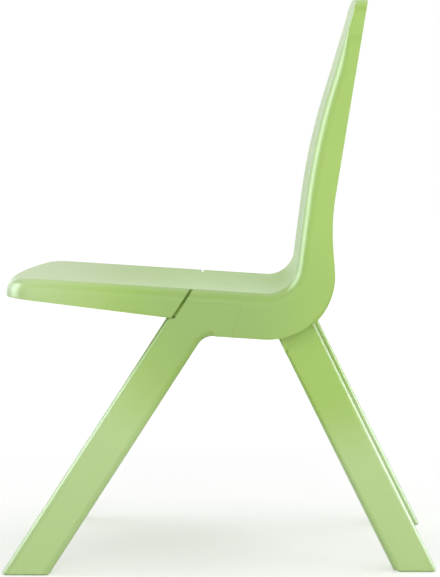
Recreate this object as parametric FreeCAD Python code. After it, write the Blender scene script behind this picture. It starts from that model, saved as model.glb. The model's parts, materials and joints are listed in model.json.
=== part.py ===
import FreeCAD, Part
import math
import os

# A child's chair in moulded plastic: one seat shell, four hollow legs, their screws and their glides.
# Millimetres and degrees. +Z is up, the chair faces -Y, and X = 0 is the plane of symmetry.

# Overall sizes
overall_depth = 388.6        # front edge of the seat to the heels of the rear legs
overall_height = 509.5       # floor to the middle of the back's top edge
seat_width = 320.0           # over the outer faces of the side skirts
seat_height = 260.0          # floor to the highest line of the seat rim

# Side view of the rim, from the seat's front edge round to the top of the back
seat_slope = 3.6             # fall of the seat towards the back
seat_depth = 261.3           # front edge to the corner of the seat line and the back line
front_roll = 30.0            # length of the stretch that rolls down to the front edge
front_roll_radius = 180.0
bend_radius = 26.0           # inside the bend between seat and back
back_lean_low = 7.2          # lean of the lower back from the vertical
back_lean_high = 17.0        # lean of the upper back
back_straight = 56.0         # straight stretch above the bend
back_curve_radius = 600.0

# Outlines seen from above and from the front
front_bow_radius = 920.0     # bow of the front edge in plan
front_corner = 22.0
top_bow_radius = 1200.0      # crown of the back's top edge
top_corner = 26.0
back_taper = 9.0             # each side of the back comes in by this much towards the top
taper_end = 70.0             # the taper stops this far below the top

# Walls of the shell
panel = 4.0
skirt = 4.0
rim_radius_seat = 8.0
rim_radius_back = 5.5
rim_change = 78.0            # height above the seat over which the rim's rounding changes
dish_edge = 1.0              # depth of the dish at the front edge and at the top
dish_bend = 9.0              # depth of the dish in the bend
rib = 3.0
rib_pitch = 70.0

# Lower line of the shell in the side view
skirt_front = 14.6           # seat height down to the skirt's lower line at the front edge
skirt_angle = 7.0            # the skirt's lower line falls to the back by this
rail_depth = 39.6            # depth of the rail behind the front leg
belly_reach = 297.6          # front edge of the seat to the rearmost point of the belly
belly_radius = 58.0
belly_lean = 5.0             # the line above the belly comes forward by this
waist_radius = 200.0
back_rear_lean = 9.26        # lean of the back's rear line
back_rear_offset = 0.1       # the back's rear line is this far in front of the belly, at the waist
waist_height = 329.0         # floor to the waist between the belly and the back
apron_proud = 2.5            # the rear apron stands this far below the belly line

# Front legs
toe_setback = 6.4            # toes behind the seat's front edge
leg_joint = 151.8            # front edge of the seat to the leg's front edge, at the skirt's lower line
front_leg_width = 35.6       # across the leg in the side view
leg_thickness = 28.0         # sideways
leg_wall = 4.0
shoulder_fillet = 16.0
slit_back = 3.4              # leg's front line to the slit's front face, square to the leg
slit_width = 3.5
slit_length = 24.0           # the slit runs this far in from the skirt's outer face
head_drop = 11.0             # top of the leg's head below the rim
head_rear = 218.0            # front edge of the seat to the head's top rear corner
head_rear_lean = 19.0

# Rear legs
rear_leg_width = 33.8
rear_leg_inset = 23.8        # rear leg's outer face in from the skirt's outer face
rear_leg_joint = 25.4        # leg's rear edge behind the bend's corner, at the rail's lower line
head_pad = 3.0               # thickness of the pad between the bend and the leg's head
cheek = 4.0
tongue_length = 14.0         # the outer cheek's tongue runs this far down the leg's front edge
tongue_angle = 30.0          # where the tongue's rear corner lies on the belly, from its lowest point
foot_corner = 4.5            # rounding of the rear foot's front corner

# Feet and screws
sole = 1.5
sole_inset = 1.5
plug_height = 14.0
cavity_top = 180.0           # floor to the top of the hollow in a leg
edge_round = 4.0             # rounding of the legs' long edges
long_edge = 150.0            # a leg's edges are rounded from this length on
shank = 4.0
screw_head = 9.0
screw_head_height = 3.0
socket = 4.0                 # across the flats of the screw's socket
socket_depth = 2.0
screw_bite = 18.0            # length of the screw inside the leg
front_screw_spacing = 20.0
rear_screw_spacing = 17.0
rear_screw_rise = 20.0       # rear screws above the rail's lower line
rear_screw_angle = 30.0      # tilt of the line through a pair of rear screws

# Clearances
hairline = 0.2               # between a leg's head and its pocket
hole_play = 0.1              # between a screw and its hole
hole_spare = 1.0             # a screw hole in a leg is this much deeper than its screw

# Drawing aids
overrun = 6.0                # how far the shell is drawn past its ends before it is trimmed
past = 1.0                   # how far a cut runs past the face that it goes through
shell_draw = 62.0            # depth to which the shell is drawn before its lower line is cut
end_length = 70.0            # stretch at the front and at the top that the end trims work on
end_margin = 20.0            # how far the trims reach out past the shell there
skin = 0.05                  # keeps a trimming block clear of the face that it continues

Vec = FreeCAD.Vector
half = seat_width / 2
y_front = -overall_depth / 2
y_heel = overall_depth / 2
y_toe = y_front + toe_setback
y_corner = y_front + seat_depth


def tan(degrees):
    return math.tan(math.radians(degrees))


def sin(degrees):
    return math.sin(math.radians(degrees))


def cos(degrees):
    return math.cos(math.radians(degrees))


def blend(t):
    t = min(max(t, 0.0), 1.0)
    return t * t * (3 - 2 * t)


# Plane geometry in (y, z)

def meet(p, heading_p, q, heading_q):
    """The point where two lines cross, each given by a point and a heading from +Y towards +Z."""
    py, pz = cos(heading_p), sin(heading_p)
    qy, qz = cos(heading_q), sin(heading_q)
    t = ((q[0] - p[0]) * qz - (q[1] - p[1]) * qy) / (py * qz - pz * qy)
    return (p[0] + t * py, p[1] + t * pz)


def along(p, heading, distance):
    return (p[0] + distance * cos(heading), p[1] + distance * sin(heading))


def beside(p, heading, distance):
    """A point to the left of the heading."""
    return along(p, heading + 90, distance)


def outline(corners):
    """A closed wire at x = 0 through corners (y, z) or (y, z, radius)."""
    count = len(corners)
    ends = []
    for i, corner in enumerate(corners):
        here = Vec(0, corner[0], corner[1])
        radius = corner[2] if len(corner) > 2 else 0
        if not radius:
            ends.append((here, None, here))
            continue
        before = corners[i - 1]
        after = corners[(i + 1) % count]
        back = (Vec(0, before[0], before[1]) - here).normalize()
        ahead = (Vec(0, after[0], after[1]) - here).normalize()
        angle = back.getAngle(ahead)
        reach = radius / math.tan(angle / 2)
        middle = (back + ahead).normalize()
        centre = here + middle * (radius / math.sin(angle / 2))
        ends.append((here + back * reach, centre - middle * radius, here + ahead * reach))
    edges = []
    for i, (start, middle, end) in enumerate(ends):
        if middle:
            edges.append(Part.Arc(start, middle, end).toShape())
        following = ends[(i + 1) % count][0]
        if end.distanceToPoint(following) > 1e-6:
            edges.append(Part.makeLine(end, following))
    return Part.Wire(edges)


def prism(corners, x_low, x_high):
    face = Part.Face(outline(corners))
    solid = face.extrude(Vec(x_high - x_low, 0, 0))
    solid.translate(Vec(x_low, 0, 0))
    return solid


def mirrored(shape):
    return shape.mirror(Vec(0, 0, 0), Vec(1, 0, 0))


def both_sides(shape):
    return [shape, mirrored(shape)]


def rod(y, z, x_low, x_high, diameter):
    return Part.makeCylinder(diameter / 2, x_high - x_low, Vec(x_low, y, z), Vec(1, 0, 0))


# The rim's path: stations (y, z, heading) from before the front edge to past the top of the back

roll_start = math.degrees(math.asin(front_roll / front_roll_radius))
front_edge = (y_front, seat_height - front_roll_radius * (1 - cos(roll_start)))
roll_end = (y_front + front_roll_radius * (sin(roll_start) + sin(seat_slope)),
            seat_height - front_roll_radius * (1 - cos(seat_slope)))
corner = (y_corner, roll_end[1] - (y_corner - roll_end[0]) * tan(seat_slope))
heading_low = 90 - back_lean_low
heading_high = 90 - back_lean_high
bend_turn = heading_low + seat_slope
bend_tangent = bend_radius * tan(bend_turn / 2)
bend_start = along(corner, -seat_slope, -bend_tangent)
bend_centre = beside(bend_start, -seat_slope, bend_radius)
seat_line = math.hypot(bend_start[0] - roll_end[0], bend_start[1] - roll_end[1])


def walk(point, heading, legs):
    """Stations along lines (length, 0, steps) and arcs (radius, turn, steps); a left turn is positive."""
    stations = [(point[0], point[1], heading)]
    for size, turn, steps in legs:
        for _ in range(steps):
            if turn:
                step = turn / steps
                chord = 2 * size * sin(abs(step) / 2)
                point = along(point, heading + step / 2, chord)
                heading += step
            else:
                point = along(point, heading, size / steps)
            stations.append((point[0], point[1], heading))
    return stations


lower = walk(along(front_edge, roll_start, -overrun), roll_start, [
    (overrun, 0, 1),
    (front_roll_radius, -roll_start - seat_slope, 4),
    (seat_line, 0, 6),
    (bend_radius, bend_turn, 8),
    (back_straight, 0, 3),
    (back_curve_radius, heading_high - heading_low, 4),
])
curve_end = lower[-1]
top_rise = (overall_height - curve_end[1]) / cos(back_lean_high)
path = lower + walk(curve_end[:2], heading_high, [(top_rise, 0, 3), (overrun, 0, 1)])[1:]
top_edge = along(curve_end[:2], heading_high, top_rise)
bend_end_height = along(corner, heading_low, bend_tangent)[1]


def half_width(z):
    return half - back_taper * blend((z - bend_end_height) / (overall_height - taper_end - bend_end_height))


def rim_radius(z):
    return rim_radius_seat + (rim_radius_back - rim_radius_seat) * blend((z - seat_height) / rim_change)


def dish(index):
    swell = math.sin(math.pi * lengths[index] / lengths[-1]) ** 2
    return dish_edge + (dish_bend - dish_edge) * swell


lengths = [0.0]
for a, b in zip(path, path[1:]):
    lengths.append(lengths[-1] + math.hypot(b[0] - a[0], b[1] - a[1]))


def section(index, inset_top, inset_side, depth):
    """The shell's section square to the path: two sides, two rounded rims and the dish between them."""
    y, z, heading = path[index]
    w = half_width(z) - inset_side
    r = rim_radius(z) - inset_side
    d = dish(index) + inset_top
    t = inset_top
    lean = r * (1 - math.sqrt(0.5))

    def at(x, n):
        return Vec(x, y - n * sin(heading), z + n * cos(heading))

    return Part.Wire([
        Part.makeLine(at(-w, -depth), at(-w, -t - r)),
        Part.Arc(at(-w, -t - r), at(-w + lean, -t - lean), at(-w + r, -t)).toShape(),
        Part.Arc(at(-w + r, -t), at(0, -d), at(w - r, -t)).toShape(),
        Part.Arc(at(w - r, -t), at(w - lean, -t - lean), at(w, -t - r)).toShape(),
        Part.makeLine(at(w, -t - r), at(w, -depth)),
        Part.makeLine(at(w, -depth), at(-w, -depth)),
    ])


def end_trim(edge, inward, normal, push, width, bow, corner_radius, rim, inset_top, inset_side):
    """What to cut off an end of the shell: all that lies outside a bowed outline with a rounded rim."""
    w = width - inset_side + skin
    b = bow - inset_side
    r = corner_radius - inset_side
    v_centre = b - math.sqrt((b - r) ** 2 - (w - r) ** 2)
    reach = b / (b - r)
    u_touch = (w - r) * reach
    v_touch = b - (b - v_centre) * reach
    lean = math.atan2(w - r, b - v_centre) / 2 + math.pi / 4
    lift = skin - inset_top

    def at(u, v):
        return edge + inward * (v + inset_side) + normal * lift + Vec(u, 0, 0)

    def corner_middle(sign):
        return at(sign * (w - r + r * math.sin(lean)), v_centre - r * math.cos(lean))

    wire = Part.Wire([
        Part.Arc(at(-u_touch, v_touch), at(0, 0), at(u_touch, v_touch)).toShape(),
        Part.Arc(at(u_touch, v_touch), corner_middle(1), at(w, v_centre)).toShape(),
        Part.makeLine(at(w, v_centre), at(w, end_length)),
        Part.makeLine(at(w, end_length), at(-w, end_length)),
        Part.makeLine(at(-w, end_length), at(-w, v_centre)),
        Part.Arc(at(-w, v_centre), corner_middle(-1), at(-u_touch, v_touch)).toShape(),
    ])
    block = Part.Face(wire).extrude(push * end_length)
    rim_edges = [e for e in block.Edges
                 if all(abs((v.Point - at(0, 0)).dot(normal)) < 1e-4 for v in e.Vertexes)
                 and e.CenterOfMass.distanceToPoint(at(0, end_length)) > past]
    block = block.makeFillet(rim - inset_side + skin, rim_edges)
    side = Vec(half + end_margin, 0, 0)
    start = edge + (normal - inward) * end_margin
    end = start + inward * end_length
    zone = Part.Face(Part.makePolygon([start - side, start + side, end + side, end - side, start - side]))
    return zone.extrude(push * (end_length + end_margin)).cut(block)


def envelope(inset_top, inset_side, depth):
    """All that lies under the rim's surface, moved in by the insets, with its front and top trimmed."""
    body = Part.makeLoft([section(i, inset_top, inset_side, depth) for i in range(len(path))], True, False)
    front = end_trim(Vec(0, front_edge[0], front_edge[1]),
                     Vec(0, cos(roll_start), sin(roll_start)),
                     Vec(0, -sin(roll_start), cos(roll_start)),
                     Vec(0, 0, -1), half, front_bow_radius, front_corner, rim_radius_seat,
                     inset_top, inset_side)
    top = end_trim(Vec(0, top_edge[0], top_edge[1]),
                   Vec(0, -cos(heading_high), -sin(heading_high)),
                   Vec(0, -sin(heading_high), cos(heading_high)),
                   Vec(0, 1, 0), half_width(overall_height), top_bow_radius, top_corner, rim_radius_back,
                   inset_top, inset_side)
    return body.cut(front).cut(top)


# Lines of the side view, each a point and a heading

skirt_at = (y_front, seat_height - skirt_front)
rail_at = beside(roll_end, -seat_slope, -rail_depth)
seam_at = beside(roll_end, -seat_slope, -head_drop)
joint = meet((y_front + leg_joint, 0), 90, skirt_at, -skirt_angle)
toe = (y_toe, sole)
leg_heading = math.degrees(math.atan2(joint[1] - toe[1], joint[0] - toe[0]))
leg_back = beside(toe, leg_heading, -front_leg_width)
slit_front = beside(toe, leg_heading, -slit_back)
slit_rear = beside(toe, leg_heading, -slit_back - slit_width)
head_rear_at = meet((y_front + head_rear, 0), 90, seam_at, -seat_slope)
head_heading = 90 - head_rear_lean
floor_at = (0, sole)

belly_y = y_front + belly_reach - belly_radius
belly_foot = meet((belly_y, 0), 90, rail_at, -seat_slope)
belly_centre = (belly_y, belly_foot[1] + belly_radius / cos(seat_slope))
belly_heading = 90 + belly_lean
belly_at = beside(belly_centre, belly_heading, -belly_radius)
apron_top = belly_at[1] + overrun
rear_at = (y_front + belly_reach - back_rear_offset, waist_height)
rear_heading = 90 - back_rear_lean

heel = (y_heel, sole)
rail_at_corner = meet((y_corner, 0), 90, rail_at, -seat_slope)
rear_joint = (y_corner + rear_leg_joint, rail_at_corner[1])
rear_leg_heading = math.degrees(math.atan2(rear_joint[1] - heel[1], rear_joint[0] - heel[0]))
rear_leg_front = beside(heel, rear_leg_heading, rear_leg_width)
# Over the rear legs the dish is about half as deep as in the middle
head_radius = bend_radius + panel + dish_bend / 2 + head_pad

hole = shank + 2 * hole_play
hole_depth = screw_bite + hole_spare
leg_outer = half
leg_inner = half - leg_thickness
rear_outer = half - rear_leg_inset
rear_inner = rear_outer - leg_thickness

# Corners of the front leg's head
head_top_front = meet(slit_rear, leg_heading, seam_at, -seat_slope)
head_low_rear = meet(head_rear_at, head_heading, rail_at, -seat_slope)
shoulder = meet(leg_back, leg_heading, rail_at, -seat_slope)
step = meet(slit_rear, leg_heading, skirt_at, -skirt_angle)

# The seat shell

def shell_lower_line():
    """Everything above the shell's lower and rear line in the side view."""
    front = meet((y_front - overrun * 3, 0), 90, skirt_at, -skirt_angle)
    skirt_end = meet(slit_front, leg_heading, skirt_at, -skirt_angle)
    rail_start = meet(slit_rear, leg_heading, rail_at, -seat_slope)
    belly = meet(rail_at, -seat_slope, belly_at, belly_heading)
    waist = meet(belly_at, belly_heading, rear_at, rear_heading)
    above = overall_height + overrun * 3
    top_rear = meet(rear_at, rear_heading, (0, above), 0)
    return [front, skirt_end, rail_start, (*belly, belly_radius), (*waist, waist_radius), top_rear,
            (front[0], above)]


def apron_region(down, out):
    """The inside of the bend, with the rail line moved down and the belly's rear line moved out."""
    rail = beside(rail_at, -seat_slope, -down)
    back = beside(belly_at, belly_heading, -out)
    start = meet((belly_centre[0] - 2 * overrun, 0), 90, rail, -seat_slope)
    belly = meet(rail, -seat_slope, back, belly_heading)
    end = meet(back, belly_heading, (0, apron_top), 0)
    return [start, (*belly, belly_radius + out), end, (start[0], apron_top)]


def front_pocket(under):
    """Roof and inner wall that take a front leg's head, on the +X side."""
    up = seat_height
    roof = prism([head_top_front, head_rear_at, (head_rear_at[0], up), (head_top_front[0], up)],
                 leg_inner - cheek, half)
    wall = prism([head_top_front, step, shoulder, head_low_rear, head_rear_at,
                  (head_rear_at[0], up), (head_top_front[0], up)],
                 leg_inner - cheek, leg_inner - hairline)
    return roof.fuse(wall).common(under)


def rear_pocket(under):
    """Pad and two cheeks that take a rear leg's head, on the +X side."""
    behind = beside(heel, rear_leg_heading, -overrun)
    ahead = beside(rear_leg_front, rear_leg_heading, overrun)
    low = (0, rail_at_corner[1])
    slot = prism([meet(ahead, rear_leg_heading, low, 0),
                  meet(behind, rear_leg_heading, low, 0),
                  meet(behind, rear_leg_heading, bend_centre, 0),
                  meet(ahead, rear_leg_heading, bend_centre, 0)],
                 rear_inner - cheek, rear_outer + cheek)
    bend = rod(*bend_centre, rear_inner - cheek, rear_outer + cheek, 2 * (head_radius - hairline))
    pad = bend.common(slot)
    inner = prism(apron_region(0, 0), rear_inner - cheek, rear_inner - hairline)
    outer = prism(apron_region(0, 0), rear_outer + hairline, rear_outer + cheek)
    tongue_top = meet(rear_leg_front, rear_leg_heading, rail_at, -seat_slope)
    tongue_tip = along(tongue_top, rear_leg_heading, -tongue_length)
    tongue_rear = along(belly_centre, tongue_angle - 90, belly_radius)
    tongue = prism([tongue_tip, tongue_rear, along(tongue_rear, 90, overrun),
                    along(tongue_top, 90, overrun), tongue_top],
                   rear_outer + hairline, rear_outer + cheek)
    return pad.fuse([inner, outer, tongue]).common(under)


def rear_apron():
    """Curved wall from skirt to skirt behind the rear legs, and the shelf that joins it to the back."""
    behind = beside(heel, rear_leg_heading, -hairline)
    inside = prism(apron_region(apron_proud, 0), -half, half)
    wall = inside.cut(prism(apron_region(apron_proud - panel, -panel), -half, half))
    top = (0, apron_top)
    legs = prism([meet(behind, rear_leg_heading, (0, 0), 0), meet(behind, rear_leg_heading, top, 0),
                  (y_front, apron_top), (y_front, 0)], -half, half)
    low = apron_top - panel
    shelf = prism([(bend_centre[0], low), (y_heel, low), (y_heel, apron_top), (bend_centre[0], apron_top)],
                  -half, half)
    return wall.cut(legs).fuse(shelf.common(inside))


def seat_ribs():
    """Three ribs under the seat from the front edge to the bend, and one between the front legs."""
    low = beside(skirt_at, -skirt_angle, rib)
    start = meet((y_front, 0), 90, low, -skirt_angle)
    end = meet((bend_start[0], 0), 90, low, -skirt_angle)
    ribs = []
    for x in (-rib_pitch, 0, rib_pitch):
        ribs.append(prism([start, end, (end[0], seat_height), (start[0], seat_height)],
                          x - rib / 2, x + rib / 2))
    y = front_screws[0][0] + (front_screws[1][0] - front_screws[0][0]) / 2
    bottom = meet((y, 0), 90, rail_at, -seat_slope)[1] + rib
    ribs.append(prism([(y - rib / 2, bottom), (y + rib / 2, bottom),
                       (y + rib / 2, seat_height), (y - rib / 2, seat_height)],
                      cheek - leg_inner, leg_inner - cheek))
    return ribs


def seat_shell():
    outside = prism(shell_lower_line(), -half - past, half + past)
    body = envelope(0, 0, shell_draw).cut(envelope(panel, skirt, shell_draw + past)).common(outside)
    under = envelope(panel / 2, skirt / 2, shell_draw)
    cut_rear = (head_rear_at[0] + hairline, head_rear_at[1])
    window = prism([meet(slit_front, leg_heading, seam_at, -seat_slope),
                    meet(slit_front, leg_heading, floor_at, 0),
                    meet(cut_rear, head_heading, floor_at, 0), cut_rear],
                   half - skirt - past, half + past)
    slit = prism([meet(slit_front, leg_heading, (0, seat_height + overrun), 0),
                  meet(slit_front, leg_heading, floor_at, 0),
                  meet(slit_rear, leg_heading, floor_at, 0),
                  meet(slit_rear, leg_heading, (0, seat_height + overrun), 0)],
                 half - slit_length, half + past)
    for side in both_sides(window):
        body = body.cut(side)
    added = both_sides(front_pocket(under)) + both_sides(rear_pocket(under)) + [rear_apron().common(under)]
    added += [r.common(under) for r in seat_ribs()]
    body = body.fuse(added)
    for side in both_sides(slit):
        body = body.cut(side)
    holes = []
    for y, z in front_screws:
        holes += both_sides(rod(y, z, leg_inner - cheek - past, leg_inner, hole))
    for y, z in rear_screws:
        holes += both_sides(rod(y, z, rear_inner - cheek - past, rear_inner, hole))
    return body.cut(holes).removeSplitter()


# Legs, glides and screws, each drawn on the +X side

def rounded_edges(solid, heading, radius):
    """Rounds the straight edges of a leg that run in its own direction."""
    way = Vec(0, cos(heading), sin(heading))
    long = []
    for e in solid.Edges:
        run = e.Vertexes[-1].Point - e.Vertexes[0].Point
        if run.Length > long_edge and abs(run.normalize().dot(way)) > 0.9999:
            long.append(e)
    return solid.makeFillet(radius, long)


def cavity(front, rear, heading, x_low, x_high, gap, low, high):
    """The hollow of a leg between two levels, or the plug in it, by its gap to the leg's faces."""
    a = beside(front, heading, -gap)
    b = beside(rear, heading, gap)
    return prism([meet(a, heading, (0, low), 0), meet(b, heading, (0, low), 0),
                  meet(b, heading, (0, high), 0), meet(a, heading, (0, high), 0)],
                 x_low + gap, x_high - gap)


def front_leg():
    foot_rear = meet(leg_back, leg_heading, floor_at, 0)
    leg = prism([toe, joint, step, head_top_front, head_rear_at, head_low_rear,
                 (*shoulder, shoulder_fillet), foot_rear], leg_inner, leg_outer)
    leg = rounded_edges(leg, leg_heading, edge_round)
    leg = leg.cut(cavity(toe, leg_back, leg_heading, leg_inner, leg_outer, leg_wall, 0, cavity_top))
    return leg.cut([rod(y, z, leg_inner, leg_inner + hole_depth, hole) for y, z in front_screws])


def rear_leg():
    foot_front = meet(rear_leg_front, rear_leg_heading, floor_at, 0)
    leg = prism([(*foot_front, foot_corner), heel, meet(heel, rear_leg_heading, bend_centre, 0),
                 meet(rear_leg_front, rear_leg_heading, bend_centre, 0)], rear_inner, rear_outer)
    leg = rounded_edges(leg, rear_leg_heading, edge_round)
    leg = leg.cut(rod(*bend_centre, rear_inner - past, rear_outer + past, 2 * head_radius))
    leg = leg.cut(cavity(rear_leg_front, heel, rear_leg_heading, rear_inner, rear_outer, leg_wall,
                         0, cavity_top))
    return leg.cut([rod(y, z, rear_inner, rear_inner + hole_depth, hole) for y, z in rear_screws])


def glide(front, rear, heading, x_low, x_high, trim):
    """A sole with a plug that fills the mouth of the leg."""
    y_low = meet(front, heading, floor_at, 0)[0] + sole_inset + trim
    y_high = meet(rear, heading, floor_at, 0)[0] - sole_inset
    plate = Part.makeBox(x_high - x_low - 2 * sole_inset, y_high - y_low, sole,
                         Vec(x_low + sole_inset, y_low, 0))
    upright = [e for e in plate.Edges if abs(e.tangentAt(e.FirstParameter).z) > 0.9]
    plate = plate.makeFillet(edge_round, upright)
    plug = cavity(front, rear, heading, x_low, x_high, leg_wall + hairline, sole, sole + plug_height)
    return plate.fuse(plug).removeSplitter()


def screw(y, z, x_seat, length):
    """A thread-forming screw along +X with its head's seat at a plane and a socket in the head."""
    body = rod(y, z, x_seat, x_seat + length, shank)
    head = rod(y, z, x_seat - screw_head_height, x_seat, screw_head)
    flats = [along((y, z), 60 * k, socket / 2 / cos(30)) for k in range(6)]
    recess = prism(flats, x_seat - screw_head_height, x_seat - screw_head_height + socket_depth)
    return body.fuse(head).cut(recess).removeSplitter()


head_corners = (head_top_front, head_rear_at, head_low_rear, step)
front_middle = tuple(sum(p[i] for p in head_corners) / 4 for i in (0, 1))
front_screws = [along(front_middle, -seat_slope, d * front_screw_spacing / 2) for d in (-1, 1)]
rear_axis = beside(heel, rear_leg_heading, rear_leg_width / 2)
rear_middle = meet(rear_axis, rear_leg_heading, (0, rail_at_corner[1] + rear_screw_rise), 0)
rear_screws = [along(rear_middle, rear_screw_angle, d * rear_screw_spacing / 2) for d in (-1, 1)]

os.makedirs("parts", exist_ok=True)
seat_shell().exportStep("parts/seat_shell.step")

# The sitter's left is +X
foot_trim = foot_corner * tan(90 - rear_leg_heading / 2)
pairs = {
    "front_leg": front_leg(),
    "rear_leg": rear_leg(),
    "front_glide": glide(toe, leg_back, leg_heading, leg_inner, leg_outer, 0),
    "rear_glide": glide(rear_leg_front, heel, rear_leg_heading, rear_inner, rear_outer, foot_trim),
}
for name, shape in pairs.items():
    shape.exportStep("parts/" + name + "_left.step")
    mirrored(shape).exportStep("parts/" + name + "_right.step")

groups = {
    "front_leg_screws": [screw(y, z, leg_inner - cheek, cheek + screw_bite) for y, z in front_screws],
    "rear_leg_screws": [screw(y, z, rear_inner - cheek, cheek + screw_bite) for y, z in rear_screws],
}
for name, shapes in groups.items():
    everyone = shapes + [mirrored(s) for s in shapes]
    Part.makeCompound(everyone).exportStep("parts/" + name + ".step")
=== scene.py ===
# %% [markdown]
# # A child's chair in moulded plastic
#
# The chair is read here as injection-moulded polypropylene: one dished shell makes the seat and the back,
# and four flat hollow legs are screwed into pockets under it and stand on push-in glides. The photo shows
# only its side, so the underside is a maker's guess. The solid model that is loaded here gives the places
# and the overall sizes. Each piece is then modelled again as a smooth mesh in the same place, because a
# mesh with its own edge loops takes soft highlights better than the triangles of a solid.

# %% Load the frame
import json
import math

import bmesh
import bpy
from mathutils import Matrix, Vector

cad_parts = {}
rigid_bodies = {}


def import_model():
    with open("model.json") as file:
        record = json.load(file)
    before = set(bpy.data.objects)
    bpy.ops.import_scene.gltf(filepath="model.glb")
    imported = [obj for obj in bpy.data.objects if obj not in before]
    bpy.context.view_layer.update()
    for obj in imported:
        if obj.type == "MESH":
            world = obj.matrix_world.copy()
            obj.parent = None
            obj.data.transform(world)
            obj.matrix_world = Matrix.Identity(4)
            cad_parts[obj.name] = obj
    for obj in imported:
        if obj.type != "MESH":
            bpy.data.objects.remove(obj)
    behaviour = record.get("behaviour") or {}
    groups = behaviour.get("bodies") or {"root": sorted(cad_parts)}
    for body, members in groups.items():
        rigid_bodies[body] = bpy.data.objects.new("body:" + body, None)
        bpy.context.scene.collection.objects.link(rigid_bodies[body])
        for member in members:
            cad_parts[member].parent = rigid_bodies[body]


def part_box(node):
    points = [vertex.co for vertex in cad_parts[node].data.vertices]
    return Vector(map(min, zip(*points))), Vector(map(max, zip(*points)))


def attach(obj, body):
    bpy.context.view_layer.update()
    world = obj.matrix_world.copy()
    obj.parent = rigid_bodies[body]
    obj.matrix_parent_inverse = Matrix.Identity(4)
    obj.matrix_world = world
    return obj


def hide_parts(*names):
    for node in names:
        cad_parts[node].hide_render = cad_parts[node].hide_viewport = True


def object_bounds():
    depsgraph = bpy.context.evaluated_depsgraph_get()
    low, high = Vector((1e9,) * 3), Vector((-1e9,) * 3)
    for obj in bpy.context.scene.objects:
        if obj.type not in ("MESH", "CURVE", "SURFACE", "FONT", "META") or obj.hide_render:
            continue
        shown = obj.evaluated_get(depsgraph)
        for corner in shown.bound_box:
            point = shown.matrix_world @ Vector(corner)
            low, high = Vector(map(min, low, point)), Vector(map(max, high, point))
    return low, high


for leftover in list(bpy.data.objects):
    bpy.data.objects.remove(leftover)
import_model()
solid_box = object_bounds()
print("solid model from", solid_box[0], "to", solid_box[1])

# %% [markdown]
# ## Sizes
#
# Meshes are drawn in millimetres and scaled to metres at the very end, so the numbers read like a drawing.
# What the frame knows is measured from it, so that the meshes stay in place if the solids change. The rest
# are the sizes of the chair's side view, where every point is a pair of y, to the back, and z, up. Angles
# are in degrees.

# %% Sizes from the frame
MM = 0.001


def measured(node):
    """The corners of a solid's box, in millimetres."""
    low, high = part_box(node)
    return low / MM, high / MM


front_leg_low, front_leg_high = measured("front_leg_left")
rear_leg_low, rear_leg_high = measured("rear_leg_left")
half = front_leg_high.x
leg_inner = front_leg_low.x
rear_inner, rear_outer = rear_leg_low.x, rear_leg_high.x
sole = front_leg_low.z
toe = Vector((front_leg_low.y, sole))
heel = Vector((rear_leg_high.y, sole))
y_front = -heel.x
top = solid_box[1].z / MM
print(f"half width {half:.1f}, leg from {leg_inner:.1f}, top {top:.1f}, toe {toe}, heel {heel}")

# %% Sizes of the side view
seat_height = 260.0
seat_slope = 3.6
seat_depth = 261.3
front_roll = 30.0
front_roll_radius = 180.0
bend_radius = 26.0
lean_low = 7.2
lean_high = 17.0
back_straight = 56.0
back_curve_radius = 600.0
skirt_front = 14.6
skirt_angle = 7.0
rail_depth = 39.6
belly_reach = 297.6
belly_radius = 58.0
belly_lean = 5.0
waist_radius = 200.0
rear_lean = 9.26
waist_height = 329.0
waist_inset = 0.1
leg_joint = 151.8
front_leg_width = 35.6
slit_back = 3.4
slit_width = 2.6
slit_length = 24.0
head_drop = 11.0
head_rear = 218.0
head_lean = 19.0
rear_leg_width = 33.8
rear_leg_joint = 25.4
wall = 4.0
print(f"seat {seat_height} high and {seat_depth} deep, rail {rail_depth} deep, slit {slit_width} wide")

# %% [markdown]
# ## Lines in the side view
#
# The chair's side view is drawn first, because nearly every edge of it is straight or an arc. One could
# place such points by eye in the viewport, but then nothing would follow when a size changes. A few helpers
# draw with points and headings instead, as with ruler and protractor: a point beside a line, the place
# where two lines meet, and a path of straights and arcs that can be followed by its length. A line is a
# point and a heading.


# %% Drawing helpers
def heading(degrees):
    return Vector((math.cos(math.radians(degrees)), math.sin(math.radians(degrees))))


def beside(point, degrees, distance):
    """A point to the left of the line through a point."""
    return point + distance * heading(degrees + 90)


def meet(p, p_degrees, q, q_degrees):
    """The point where two lines cross."""
    a, b = heading(p_degrees), heading(q_degrees)
    return p + a * ((q - p).cross(b) / a.cross(b))


def at_y(y, line):
    """The point of a line at a place along the depth."""
    return meet(Vector((y, 0)), 90, *line)


def behind(point, line):
    """How far a point lies to the right of a line, which is behind it for a line that goes up."""
    return (point - line[0]).dot(heading(line[1] - 90))


def side_view(point):
    return Vector((point.y, point.z))


def follow(piece, distance):
    """The point and the heading some way along one straight or arc."""
    length, point, degrees, bend = piece
    turn = bend * distance
    half_turn = math.radians(turn) / 2
    chord = distance * math.sin(half_turn) / half_turn if half_turn else distance
    return point + chord * heading(degrees + turn / 2), degrees + turn


def lay_path(point, degrees, legs):
    """A path of straights (length, 0) and arcs (radius, turn), as pieces for follow()."""
    pieces = []
    for size, turn in legs:
        length = math.radians(abs(turn)) * size if turn else size
        pieces.append((length, point, degrees, turn / length))
        point, degrees = follow(pieces[-1], length)
    return pieces


def path_at(pieces, distance):
    """The point and the heading some way along a path."""
    for piece in pieces[:-1]:
        if distance < piece[0]:
            return follow(piece, distance)
        distance -= piece[0]
    return follow(pieces[-1], distance)


def arc(centre, radius, start, end, steps):
    """Points on an arc between two headings from its centre."""
    return [centre + radius * heading(start + (end - start) * i / steps) for i in range(steps + 1)]


def blend(t):
    """Eases from nought to one."""
    t = min(max(t, 0.0), 1.0)
    return t * t * (3 - 2 * t)


def between(a, b, t):
    return a + (b - a) * t


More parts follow.
